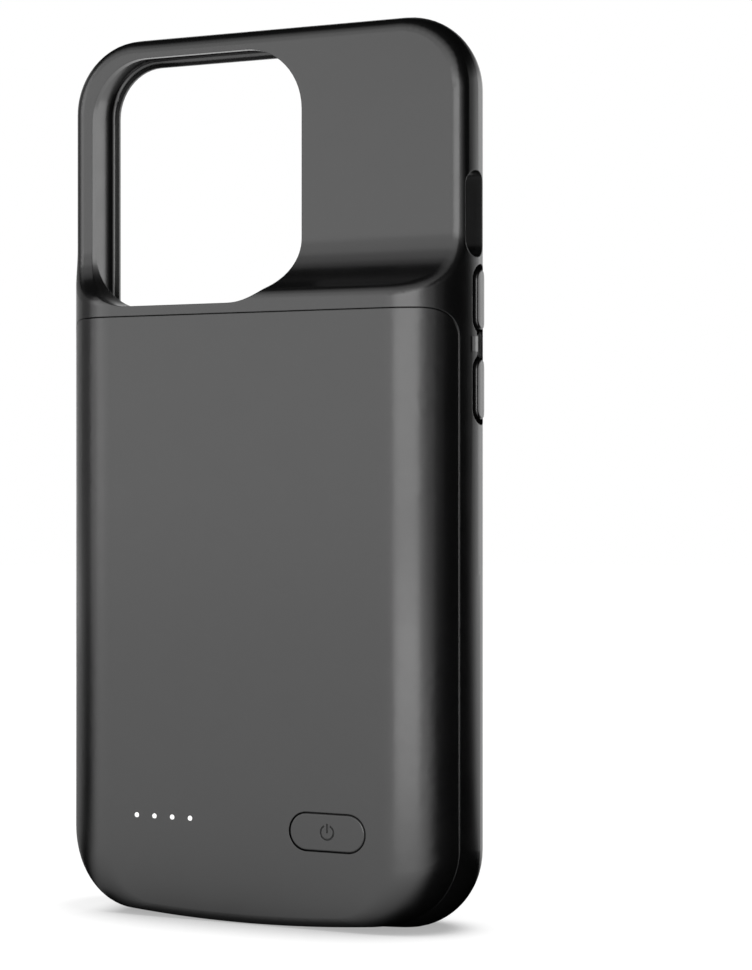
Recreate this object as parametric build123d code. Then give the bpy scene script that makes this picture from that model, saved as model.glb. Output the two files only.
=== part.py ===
from build123d import *
import math
import os

# Battery charging case for a phone. Millimetres, +Z up, battery back faces -Y,
# the open screen side faces +Y, the volume keys are on +X. Depths are counted
# from the flat battery back towards the screen side.

# Phone that the pocket is made for
PHONE_WIDTH = 71.5
PHONE_LENGTH = 147.5
PHONE_THICKNESS = 7.85
PHONE_CORNER = 10.0
FIT = 0.25
FIT_DEPTH = 0.1
POCKET_EDGE = 0.9

# Frame walls
SIDE_WALL = 3.2
TOP_WALL = 2.65
CHIN = 4.4
UPPER_WALL = 1.2
LIP = 1.2
LIP_OVERLAP = 1.5
LIP_BEVEL = 0.7

# Outer form
BATTERY_RISE = 6.76
BACK_ROUND = 12.5
FRONT_ROUND = 5.6
EDGE_ROUND = 2.5
TOP_TURN = 0.65
FOOT_CORNER = 13.8
FOOT_BOW = 400.0
FOOT_DROP = 1.1
FOOT_LINE = -0.05
RAMP_RADIUS = 10.3
CREST_Z = 108.4
LOWER_PART = 60.0

# Cover and its seam
SEAM_Z = 104.85
SEAM_DEPTH = 6.46
SEAM_BEND = 5.0
SEAM_GAP = 0.16
SEAM_CORNER = 14.0
COVER_WALL = 1.3
COVER_CORNER = 9.5
COVER_BOW = 240.0
COVER_FOOT = 1.65
COVER_FOOT_SHARE = 0.6
COVER_LEVELS = 9
RIB_WIDTH = 1.0
RIB_GAP = 0.3

# Camera window
WINDOW_LEFT = -34.5
WINDOW_RIGHT = 7.8
WINDOW_LOW = 106.55
WINDOW_HIGH = 151.1
WINDOW_CORNER = 11.0

# Mute opening in the +X wall
MUTE_LOW = 113.6
MUTE_HIGH = 128.2
MUTE_BACK = 7.75
MUTE_FRONT = 12.9
MUTE_CORNER = 2.5

# Side keys
KEY_WIDTH = 3.6
KEY_GROOVE = 0.95
KEY_PROUD = 0.25
KEY_TRAVEL = 0.4
KEY_PLAY = 0.25
KEY_CAP = 1.1
KEY_EDGE = 0.3
RECESS = 1.6
STEM_WIDTH = 1.8
STEM_SHORTER = 2.4
FLANGE = 0.6
FLANGE_RIM = 0.6
VOLUME_KEY = 10.1
VOLUME_UP_Z = 106.52
VOLUME_DOWN_Z = 91.36
SIDE_KEY = 17.6
SIDE_KEY_Z = 98.9
BRIDGE_HEIGHT = 2.7
BRIDGE_WIDTH = 1.15
CHANNEL = 1.0

# Power button and status lights
BUTTON_X = 16.1
BUTTON_Z = 16.6
BUTTON_LENGTH = 14.0
BUTTON_HEIGHT = 6.2
BUTTON_GAP = 0.25
BUTTON_EDGE = 0.2
BUTTON_TRAVEL = 0.35
BUTTON_RIM = 0.7
BUTTON_FLANGE = 0.7
BUTTON_STEM = 3.0
MARK_RADIUS = 1.2
MARK_LINE = 0.26
MARK_DEPTH = 0.12
MARK_GAP = 1.1
MARK_BAR = 1.5
LIGHTS = 4
LIGHT_PITCH = 3.56
LIGHT_FIRST_X = -21.15
LIGHT_Z = 17.55
LIGHT_HOLE = 0.95
LIGHT_PLAY = 0.05
GUIDE_BAR = 1.2
GUIDE_HEIGHT = 2.4
GUIDE_LEG = 1.4
CHIP_HEIGHT = 0.6

# Cell and its strip
CELL_WIDTH = 57.0
CELL_LOW = 31.0
CELL_HIGH = 98.5
CELL_ROUND = 0.8
FOAM = 0.9
FOAM_MARGIN = 4.0
TAPE = 0.15
STRIP_WIDTH = 36.0
STRIP_HEIGHT = 3.4
TAB_WIDTH = 4.0
TAB = 0.15
TAB_X = 12.0
WIRE = 0.8
WIRE_X = 5.0

# Control board and what sits on it
BOARD = 0.8
BOARD_WIDTH = 54.0
BOARD_LOW = 4.0
BOARD_HIGH = 25.5
BOARD_CORNER = 3.0
SWITCH_SIZE = 4.5
SWITCH_HEIGHT = 1.4
PLUNGER = 2.2
PLUNGER_HEIGHT = 0.5
INDUCTOR = 6.0
INDUCTOR_HEIGHT = 3.0
INDUCTOR_X = -10.5
INDUCTOR_Z = 10.0
CHARGE_CHIP = 5.0
CHARGE_CHIP_HEIGHT = 0.9
CAPACITORS = 5
CAPACITOR_PITCH = 2.4
CAPACITOR_Z = 22.0
SCREW_SHANK = 1.4
SCREW_HEAD = 2.6
SCREW_HEAD_HEIGHT = 0.7
SCREW_LENGTH = 1.0
SCREW_PLAY = 0.1
SCREW_INSET = 2.2
SCREW_LOW_Z = 10.5

# Charging socket and the plug for the phone
PORT_WIDTH = 8.9
PORT_HEIGHT = 3.2
PORT_LENGTH = 7.3
PORT_WALL = 0.3
PORT_MARGIN = 0.3
PORT_LOW = 0.7
TONGUE_WIDTH = 6.6
TONGUE_HEIGHT = 0.7
TONGUE_SHORTER = 0.9
PLUG_WIDTH = 6.7
PLUG_THICKNESS = 1.5
PLUG_LENGTH = 6.6
PLUG_BASE_WIDTH = 9.8
PLUG_BASE_DEPTH = 4.4
PLUG_BASE_HEIGHT = 3.2
PLUG_PLAY = 0.2
CONTACTS = 8
CONTACT_PITCH = 0.65
CONTACT_WIDTH = 0.36
CONTACT_LENGTH = 3.2
CONTACT_PROUD = 0.05
FLEX_WIDTH = 7.0
FLEX = 0.3
SOUND_WIDTH = 12.0
SOUND_HEIGHT = 3.2
SOUND_X = 19.0

# Derived sizes
WIDTH = PHONE_WIDTH + 2 * (FIT + SIDE_WALL)
HALF = WIDTH / 2
HEIGHT = CHIN + PHONE_LENGTH + 2 * FIT + TOP_WALL
POCKET_HALF = PHONE_WIDTH / 2 + FIT
POCKET_LOW = CHIN
POCKET_HIGH = CHIN + PHONE_LENGTH + 2 * FIT
POCKET_BACK = BATTERY_RISE + UPPER_WALL
POCKET_FRONT = POCKET_BACK + PHONE_THICKNESS + 2 * FIT_DEPTH
DEPTH = POCKET_FRONT + LIP
MID_DEPTH = (POCKET_BACK + POCKET_FRONT) / 2
LEAN = math.acos(max((BACK_ROUND + FRONT_ROUND - DEPTH) / (BACK_ROUND - FRONT_ROUND), 0.0))
RIM = FRONT_ROUND + (BACK_ROUND - FRONT_ROUND) * math.sin(LEAN)
FLAT_HALF = HALF - RIM
WIDEST = DEPTH - FRONT_ROUND
BLOCK_LOW = FOOT_LINE - FOOT_DROP
BOARD_BACK = SEAM_DEPTH - BOARD
PORT_DEPTH = BOARD_BACK - PORT_HEIGHT / 2


def y_at(depth):
    """Y of the plane at a depth."""
    return depth - DEPTH / 2


def box(x0, x1, d0, d1, z0, z1):
    """Box between two X, two depths and two heights."""
    middle = ((x0 + x1) / 2, y_at((d0 + d1) / 2), (z0 + z1) / 2)
    return Pos(*middle) * Box(x1 - x0, d1 - d0, z1 - z0)


def back_prism(sketch, x, z, d0, d1):
    """Sketch seen from the back, extruded between two depths."""
    plane = Plane(origin=(x, y_at(d1), z), x_dir=(1, 0, 0), z_dir=(0, -1, 0))
    return extrude(plane * sketch, d1 - d0)


def side_prism(sketch, x0, x1, depth, z):
    """Sketch seen from +X (depth, height), extruded between two X."""
    plane = Plane(origin=(x0, y_at(depth), z), x_dir=(0, 1, 0), z_dir=(1, 0, 0))
    return extrude(plane * sketch, x1 - x0)


def up_prism(sketch, x, depth, z0, z1):
    """Sketch seen from above (X, depth), extruded between two heights."""
    return extrude(Pos(x, y_at(depth), z0) * sketch, z1 - z0)


def pill(length, height):
    """Bar outline with full round ends."""
    return RectangleRounded(length, height, min(length, height) / 2 - 0.01)


def foot(half, low, corner, bow):
    """Corner centre height, touch point and corner bulge of a bowed foot line."""
    reach = half - corner
    centre = low + bow - math.sqrt((bow - corner) ** 2 - reach**2)
    lean = math.atan2(reach, low + bow - centre)
    touch = (bow * math.sin(lean), low + bow - bow * math.cos(lean))
    middle = (math.pi / 2 + lean) / 2
    bulge = (reach + corner * math.sin(middle), centre - corner * math.cos(middle))
    return centre, touch, bulge


def foot_edges(half, low, corner, bow, depth):
    """Foot of an outline from its left side to its right side."""
    y = y_at(depth)
    centre, touch, bulge = foot(half, low, corner, bow)
    left = ThreePointArc(
        (-half, y, centre), (-bulge[0], y, bulge[1]), (-touch[0], y, touch[1])
    )
    middle = ThreePointArc((-touch[0], y, touch[1]), (0, y, low), (touch[0], y, touch[1]))
    right = ThreePointArc((touch[0], y, touch[1]), (bulge[0], y, bulge[1]), (half, y, centre))
    return [left, middle, right], centre


def square_outline(half, low, high, corner, bow, depth):
    """Face with a bowed foot, round lower corners and a straight top."""
    y = y_at(depth)
    edges, centre = foot_edges(half, low, corner, bow, depth)
    edges.append(Line((half, y, centre), (half, y, high)))
    edges.append(Line((half, y, high), (-half, y, high)))
    edges.append(Line((-half, y, high), (-half, y, centre)))
    return Face(Wire(edges))


def round_outline(inset):
    """Closed outline of the case at an inset, starting half way up its +X side."""
    y = y_at(0)
    half = HALF - inset
    high = HEIGHT - inset
    turn = RIM + TOP_TURN - inset
    edges, centre = foot_edges(
        half, BLOCK_LOW + inset, FOOT_CORNER - inset, FOOT_BOW - inset, 0
    )
    inner = half - turn
    bend = turn * math.sqrt(0.5)
    top = high - turn
    middle = (centre + top) / 2
    loop = [
        Line((half, y, middle), (half, y, top)),
        ThreePointArc((half, y, top), (inner + bend, y, top + bend), (inner, y, high)),
        Line((inner, y, high), (-inner, y, high)),
        ThreePointArc((-inner, y, high), (-inner - bend, y, top + bend), (-half, y, top)),
        Line((-half, y, top), (-half, y, centre)),
    ]
    loop = loop + edges + [Line((half, y, centre), (half, y, middle))]
    return Wire(loop), middle


def rim_section(z):
    """Section of the outer rim: long round behind, short round in front."""
    front = (HALF - FRONT_ROUND, WIDEST)

    def on_back(angle):
        reach = BACK_ROUND * math.sin(angle)
        return (FLAT_HALF + reach, y_at(BACK_ROUND * (1 - math.cos(angle))), z)

    def on_front(angle):
        reach = FRONT_ROUND * math.sin(angle)
        return (front[0] + reach, y_at(front[1] - FRONT_ROUND * math.cos(angle)), z)

    corner = (FLAT_HALF, y_at(DEPTH), z)
    edges = [ThreePointArc(on_back(0), on_back(LEAN / 2), on_back(LEAN))]
    if abs(on_back(LEAN)[1] - on_front(LEAN)[1]) > 1e-6:
        edges.append(Line(on_back(LEAN), on_front(LEAN)))
    edges.append(
        ThreePointArc(on_front(LEAN), on_front((LEAN + math.pi) / 2), on_front(math.pi))
    )
    edges.append(Line(on_front(math.pi), corner))
    edges.append(Line(corner, on_back(0)))
    return Wire(edges)


def swept_block():
    """Whole outer form with even corners."""
    path, middle = round_outline(0)
    ring = Part(Solid.sweep(rim_section(middle), path=path).wrapped)
    core = extrude(Face(round_outline(RIM)[0]), DEPTH, dir=(0, 1, 0))
    return ring + core


def side_inset(depth):
    """How far the side lies inside the widest line at a depth."""
    angle = math.acos(min(max(1 - depth / BACK_ROUND, 0), 1))
    if angle < LEAN:
        return HALF - FLAT_HALF - BACK_ROUND * math.sin(angle)
    drop = max(WIDEST - depth, 0)
    return FRONT_ROUND - math.sqrt(FRONT_ROUND**2 - min(drop, FRONT_ROUND) ** 2)


def lower_part():
    """Lower frame between the seam and the widest line, its corners fuller at the seam."""
    faces = []
    seam = side_inset(SEAM_DEPTH)
    for step in range(6):
        depth = SEAM_DEPTH + (WIDEST - SEAM_DEPTH) * step / 5
        share = side_inset(depth) / seam
        faces.append(
            square_outline(
                HALF - side_inset(depth),
                BLOCK_LOW + FOOT_DROP * share,
                LOWER_PART,
                FOOT_CORNER + (SEAM_CORNER - FOOT_CORNER) * share,
                FOOT_BOW,
                depth,
            )
        )
    return loft(faces)


def scoop():
    """Everything behind the thin upper back, with the hollow ramp below it."""
    far = HALF + 5
    start = math.acos((RAMP_RADIUS - BATTERY_RISE) / RAMP_RADIUS)
    cove_z = CREST_Z + RAMP_RADIUS * math.sin(start)
    reach = 5.0

    def on_cove(angle):
        depth = BATTERY_RISE - RAMP_RADIUS * (1 - math.cos(angle))
        return (-far, y_at(depth), cove_z - RAMP_RADIUS * math.sin(angle))

    crest = on_cove(start)
    out = (-far, crest[1] - reach, crest[2] - reach / math.tan(start))
    above = (-far, y_at(BATTERY_RISE), HEIGHT + 10)
    edges = [
        Line(out, crest),
        ThreePointArc(crest, on_cove(start / 2), on_cove(0)),
        Line(on_cove(0), above),
        Line(above, (-far, out[1], HEIGHT + 10)),
        Line((-far, out[1], HEIGHT + 10), out),
    ]
    return extrude(Face(Wire(edges)), 2 * far, dir=(1, 0, 0)), cove_z


def outer_form():
    """Outer form of the frame before it is hollowed."""
    cutter, cove_z = scoop()
    block = swept_block() - cutter
    level = y_at(BATTERY_RISE)
    floor = [
        face
        for face in block.faces().filter_by(GeomType.PLANE)
        if abs(face.center().Y - level) < 1e-3 and face.center().Z > CREST_Z
    ][0]
    cove = [
        face
        for face in block.faces().filter_by(GeomType.CYLINDER)
        if CREST_Z < face.center().Z < cove_z and abs(face.center().X) < 1
    ][0]
    rim = [
        edge
        for edge in list(floor.edges()) + list(cove.edges())
        if abs(edge.center().Z - cove_z) > 1e-3 or abs(edge.center().X) > 1
    ]
    block = fillet(rim, EDGE_ROUND)
    block -= box(-2 * HALF, 2 * HALF, -5, WIDEST, -20, LOWER_PART)
    return block.fuse(lower_part(), tol=1e-4)


def seam_space(inset):
    """Room behind the seam, up to its rounded upper bend."""
    z = SEAM_Z - inset
    depth = SEAM_DEPTH - inset
    radius = max(SEAM_BEND - inset, 0.5)
    turn = radius * (1 - math.sqrt(0.5))
    far = HALF + 5
    points = [
        (-far, y_at(-5), -20),
        (-far, y_at(-5), z),
        (-far, y_at(depth - radius), z),
        (-far, y_at(depth), z - radius),
        (-far, y_at(depth), -20),
    ]
    edges = [
        Line(points[0], points[1]),
        Line(points[1], points[2]),
        ThreePointArc(points[2], (-far, y_at(depth - turn), z - turn), points[3]),
        Line(points[3], points[4]),
        Line(points[4], points[0]),
    ]
    return extrude(Face(Wire(edges)), 2 * far, dir=(1, 0, 0))


def below_foot():
    """Everything below the flat on which the case stands."""
    return box(-2 * HALF, 2 * HALF, -DEPTH, 2 * DEPTH, -20, 0)


def phone_pocket():
    """Room for the phone, its long edges softened."""
    height = POCKET_HIGH - POCKET_LOW
    sketch = RectangleRounded(2 * POCKET_HALF, height, PHONE_CORNER + FIT)
    middle = (POCKET_HIGH + POCKET_LOW) / 2
    room = back_prism(sketch, 0, middle, POCKET_BACK, POCKET_FRONT)
    front = room.faces().sort_by(Axis.Y)[-1]
    return fillet(front.edges(), POCKET_EDGE)


def lip_opening():
    """Opening on the screen side with a bevel round it."""
    half = POCKET_HALF - LIP_OVERLAP
    height = POCKET_HIGH - POCKET_LOW - 2 * LIP_OVERLAP
    middle = (POCKET_HIGH + POCKET_LOW) / 2
    corner = PHONE_CORNER + FIT - LIP_OVERLAP
    sketch = RectangleRounded(2 * half, height, corner)
    opening = back_prism(sketch, 0, middle, POCKET_FRONT - 1, DEPTH)
    front = opening.faces().sort_by(Axis.Y)[-1]
    wide = RectangleRounded(
        2 * (half + LIP_BEVEL), height + 2 * LIP_BEVEL, corner + LIP_BEVEL
    )
    plane = Plane(origin=(0, y_at(DEPTH), middle), x_dir=(1, 0, 0), z_dir=(0, -1, 0))
    narrow = plane.offset(LIP_BEVEL)
    bevel = loft([(plane * wide).face(), (narrow * sketch).face()], ruled=True)
    return opening + bevel + extrude(front, 1, dir=(0, 1, 0))


def key_space(sign, length, z):
    """Recess, stem hole and inner seat of one side key."""
    groove = pill(KEY_WIDTH + 2 * KEY_GROOVE, length + 2 * KEY_GROOVE)
    hole = pill(STEM_WIDTH + 2 * KEY_PLAY, length - STEM_SHORTER + 2 * KEY_PLAY)
    rim = 2 * (FLANGE_RIM + KEY_PLAY)
    seat = pill(STEM_WIDTH + rim, length - STEM_SHORTER + rim)
    inner = sign * (POCKET_HALF - 0.5)
    outer = sign * (HALF + 2)
    ledge = sign * (POCKET_HALF + FLANGE + KEY_TRAVEL)
    space = side_prism(groove, sign * (HALF - RECESS), outer, MID_DEPTH, z)
    space += side_prism(hole, inner, outer, MID_DEPTH, z)
    return space + side_prism(seat, inner, ledge, MID_DEPTH, z)


def rim_slab(extra, z0, z1):
    """Side wall form of the case, raised by an amount, between two heights."""
    front = (HALF - FRONT_ROUND, WIDEST)
    back = BACK_ROUND + extra
    nose = FRONT_ROUND + extra

    def on_back(angle):
        return (FLAT_HALF + back * math.sin(angle), y_at(BACK_ROUND - back * math.cos(angle)), z0)

    def on_front(angle):
        return (front[0] + nose * math.sin(angle), y_at(front[1] - nose * math.cos(angle)), z0)

    start = LEAN * 0.3
    stop = math.pi - 0.2
    edges = [ThreePointArc(on_back(start), on_back((start + LEAN) / 2), on_back(LEAN))]
    if abs(on_back(LEAN)[1] - on_front(LEAN)[1]) > 1e-6:
        edges.append(Line(on_back(LEAN), on_front(LEAN)))
    edges.append(
        ThreePointArc(on_front(LEAN), on_front((LEAN + stop) / 2), on_front(stop))
    )
    edges.append(Line(on_front(stop), (0, y_at(WIDEST), z0)))
    edges.append(Line((0, y_at(WIDEST), z0), on_back(start)))
    return extrude(Face(Wire(edges)), z1 - z0, dir=(0, 0, 1))


def side_key(sign, length, z):
    """Key whose crown follows the wall, with a stem and a flange that keeps it in."""
    under = HALF + KEY_PROUD - KEY_CAP
    cap = side_prism(pill(KEY_WIDTH, length), under, HALF + 3, MID_DEPTH, z)
    cap = cap & rim_slab(KEY_PROUD, z - length, z + length)
    crown = [edge for edge in cap.edges() if edge.center().X > under + 0.2]
    crown = [edge for edge in crown if edge.bounding_box().min.X > under + 0.1]
    cap = fillet(crown, KEY_EDGE)
    out = POCKET_HALF + FLANGE + KEY_TRAVEL - KEY_PLAY / 2
    inside = out - FLANGE
    stem = side_prism(pill(STEM_WIDTH, length - STEM_SHORTER), inside, under, MID_DEPTH, z)
    rim = 2 * FLANGE_RIM
    flange = pill(STEM_WIDTH + rim, length - STEM_SHORTER + rim)
    key = cap + stem + side_prism(flange, inside, out, MID_DEPTH, z)
    if sign < 0:
        key = mirror(key, Plane.YZ)
    return key


def key_bridge():
    """Channel between the two volume keys and the small bar left standing beside it."""
    z = (VOLUME_UP_Z + VOLUME_DOWN_Z) / 2
    back = MID_DEPTH - KEY_WIDTH / 2 - KEY_GROOVE
    channel = box(
        HALF - CHANNEL,
        HALF + 3,
        back + BRIDGE_WIDTH,
        MID_DEPTH + KEY_WIDTH / 2,
        VOLUME_DOWN_Z,
        VOLUME_UP_Z,
    )
    bar = box(
        HALF - CHANNEL,
        HALF + KEY_PROUD / 2,
        back,
        back + BRIDGE_WIDTH,
        z - BRIDGE_HEIGHT / 2,
        z + BRIDGE_HEIGHT / 2,
    )
    return channel, bar


def screw_places():
    """X and Z of the board screws."""
    side = BOARD_WIDTH / 2 - SCREW_INSET
    high = BOARD_HIGH - SCREW_INSET
    return [(-side, high), (side, high), (-side, SCREW_LOW_Z), (side, SCREW_LOW_Z)]


def light_places():
    """X of the status lights."""
    return [LIGHT_FIRST_X + LIGHT_PITCH * count for count in range(LIGHTS)]


def plug_room():
    """Space in the chin for the plug base and its flex, open to the board side."""
    half = PLUG_BASE_WIDTH / 2 + PLUG_PLAY
    low = POCKET_LOW - PLUG_BASE_HEIGHT
    front = MID_DEPTH + PLUG_BASE_DEPTH / 2 + PLUG_PLAY
    return box(-half, half, SEAM_DEPTH - 1, front, low, POCKET_LOW + 1)


def case_frame():
    """Moulded frame: tray, walls, lip, upper back with its window and all openings."""
    frame = Part(outer_form().wrapped)
    frame -= seam_space(0)
    frame -= phone_pocket()
    frame -= lip_opening()
    frame -= below_foot()
    window = RectangleRounded(
        WINDOW_RIGHT - WINDOW_LEFT, WINDOW_HIGH - WINDOW_LOW, WINDOW_CORNER
    )
    centre = ((WINDOW_LEFT + WINDOW_RIGHT) / 2, (WINDOW_LOW + WINDOW_HIGH) / 2)
    frame -= back_prism(window, centre[0], centre[1], -5, POCKET_BACK + 0.5)
    mute = RectangleRounded(MUTE_FRONT - MUTE_BACK, MUTE_HIGH - MUTE_LOW, MUTE_CORNER)
    depth = (MUTE_FRONT + MUTE_BACK) / 2
    height = (MUTE_LOW + MUTE_HIGH) / 2
    frame -= side_prism(mute, POCKET_HALF - 0.5, HALF + 3, depth, height)
    channel, bar = key_bridge()
    frame -= channel
    frame += bar
    frame -= key_space(1, VOLUME_KEY, VOLUME_UP_Z)
    frame -= key_space(1, VOLUME_KEY, VOLUME_DOWN_Z)
    frame -= key_space(-1, SIDE_KEY, SIDE_KEY_Z)
    for x in (-SOUND_X, SOUND_X):
        frame -= up_prism(pill(SOUND_WIDTH, SOUND_HEIGHT), x, MID_DEPTH, -1, POCKET_LOW + 1)
    frame -= plug_room()
    rib = rib_outer()
    for sign in (-1, 1):
        x = sorted((sign * rib, sign * (rib - RIB_WIDTH)))
        frame += box(x[0], x[1], BOARD_BACK, SEAM_DEPTH, BOARD_HIGH, CELL_HIGH)
    for x, z in screw_places():
        hole = Circle((SCREW_SHANK + SCREW_PLAY) / 2)
        frame -= back_prism(hole, x, z, SEAM_DEPTH - 1, SEAM_DEPTH + SCREW_LENGTH + SCREW_PLAY)
    return frame


def cover_levels(wall):
    """Outlines of the cover form from its flat back to the seam plane."""
    radius = BACK_ROUND - wall
    last = math.acos((BACK_ROUND - SEAM_DEPTH) / radius)
    faces = []
    for step in range(COVER_LEVELS):
        angle = last * step / (COVER_LEVELS - 1)
        share = math.sin(angle) / math.sin(last)
        rounding = max(1 - share / COVER_FOOT_SHARE, 0) ** 2
        blend = share**3
        faces.append(
            square_outline(
                FLAT_HALF + radius * math.sin(angle),
                FOOT_LINE + wall + COVER_FOOT * rounding,
                SEAM_Z + 3,
                COVER_CORNER + (SEAM_CORNER - COVER_CORNER) * blend - wall * 0.6,
                COVER_BOW + (FOOT_BOW - COVER_BOW) * blend,
                BACK_ROUND - radius * math.cos(angle),
            )
        )
    return faces


def rib_outer():
    """X of the outer face of the ribs that locate the cover."""
    radius = BACK_ROUND - COVER_WALL
    depth = SEAM_DEPTH - COVER_WALL
    return FLAT_HALF + math.sqrt(radius**2 - (BACK_ROUND - depth) ** 2) - RIB_GAP


def battery_cover():
    """Rear shell with openings for the button, the lights and the charging socket."""
    form = loft(cover_levels(0)) & seam_space(SEAM_GAP)
    room = loft(cover_levels(COVER_WALL)) & seam_space(COVER_WALL)
    room += extrude(room.faces().sort_by(Axis.Y)[-1], 5, dir=(0, 1, 0))
    cover = form - room - below_foot()
    button = pill(BUTTON_LENGTH + 2 * BUTTON_GAP, BUTTON_HEIGHT + 2 * BUTTON_GAP)
    cover -= back_prism(button, BUTTON_X, BUTTON_Z, -1, COVER_WALL + 1)
    for x in light_places():
        cover -= back_prism(Circle(LIGHT_HOLE / 2), x, LIGHT_Z, -1, COVER_WALL + 1)
    port = pill(PORT_WIDTH + 2 * PORT_MARGIN, PORT_HEIGHT + 2 * PORT_MARGIN)
    return cover - up_prism(port, 0, PORT_DEPTH, -1, PORT_LOW + 3)


def power_mark():
    """Sunk on-off sign: a ring that is open at the top and a bar that stands in the gap."""
    ring = Circle(MARK_RADIUS + MARK_LINE / 2) - Circle(MARK_RADIUS - MARK_LINE / 2)
    ring -= Pos(0, MARK_RADIUS) * Rectangle(MARK_GAP, MARK_RADIUS)
    bar = Pos(0, MARK_RADIUS + MARK_LINE - MARK_BAR / 2) * Rectangle(MARK_LINE, MARK_BAR)
    sign = back_prism(ring, BUTTON_X, BUTTON_Z, -1, MARK_DEPTH)
    return sign + back_prism(bar, BUTTON_X, BUTTON_Z, -1, MARK_DEPTH)


def power_button():
    """Oval button, flush with the back, with a flange inside and a stem to the switch."""
    inside = COVER_WALL + BUTTON_GAP
    cap = back_prism(pill(BUTTON_LENGTH, BUTTON_HEIGHT), BUTTON_X, BUTTON_Z, 0, inside)
    cap = fillet(cap.faces().sort_by(Axis.Y)[0].edges(), BUTTON_EDGE)
    cap -= power_mark()
    rim = BUTTON_GAP + BUTTON_RIM
    flange = pill(BUTTON_LENGTH + 2 * rim, BUTTON_HEIGHT + 2 * rim)
    back = inside + BUTTON_FLANGE
    tip = BOARD_BACK - SWITCH_HEIGHT - PLUNGER_HEIGHT - BUTTON_TRAVEL - 0.1
    button = cap + back_prism(flange, BUTTON_X, BUTTON_Z, inside, back)
    return button + back_prism(Circle(BUTTON_STEM / 2), BUTTON_X, BUTTON_Z, back, tip)


def light_guide():
    """Clear bar behind the cover with four pips in its holes and four legs to the lights."""
    places = light_places()
    middle = (places[0] + places[-1]) / 2
    length = places[-1] - places[0] + GUIDE_HEIGHT
    back = COVER_WALL + GUIDE_BAR
    guide = back_prism(pill(length, GUIDE_HEIGHT), middle, LIGHT_Z, COVER_WALL, back)
    for x in places:
        guide += back_prism(Circle(LIGHT_HOLE / 2 - LIGHT_PLAY), x, LIGHT_Z, 0.03, COVER_WALL)
        leg_end = BOARD_BACK - CHIP_HEIGHT - 0.15
        guide += back_prism(Circle(GUIDE_LEG / 2), x, LIGHT_Z, back, leg_end)
    return guide


def cell_pieces():
    """Pouch cell, foam over it, tape under it, protection strip, tabs and leads."""
    half = CELL_WIDTH / 2
    under = SEAM_DEPTH - TAPE
    cell = box(-half, half, COVER_WALL + FOAM, under, CELL_LOW, CELL_HIGH)
    cell = fillet(cell.edges().filter_by(Axis.Z), CELL_ROUND)
    margin = FOAM_MARGIN
    soft = (-half + margin, half - margin, CELL_LOW + margin, CELL_HIGH - margin)
    foam = box(soft[0], soft[1], COVER_WALL, COVER_WALL + FOAM, soft[2], soft[3])
    tape = box(soft[0], soft[1], under, SEAM_DEPTH, soft[2], soft[3])
    strip_high = CELL_LOW - 0.6
    strip_low = strip_high - STRIP_HEIGHT
    strip = box(
        -STRIP_WIDTH / 2, STRIP_WIDTH / 2, BOARD_BACK, SEAM_DEPTH, strip_low, strip_high
    )
    tabs = []
    wires = []
    for sign in (-1, 1):
        x = sign * TAB_X
        tabs.append(
            box(
                x - TAB_WIDTH / 2,
                x + TAB_WIDTH / 2,
                BOARD_BACK - TAB,
                BOARD_BACK,
                strip_low + 0.6,
                CELL_LOW,
            )
        )
        wire = up_prism(
            Circle(WIRE / 2),
            sign * WIRE_X,
            BOARD_BACK - WIRE / 2,
            BOARD_HIGH - 2.5,
            strip_low + 2.2,
        )
        wires.append(wire)
    return {
        "battery_cell": cell,
        "cell_foam": foam,
        "cell_tape": tape,
        "cell_board": strip,
        "cell_tabs": Compound(children=tabs),
        "lead_wires": Compound(children=wires),
    }


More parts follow.
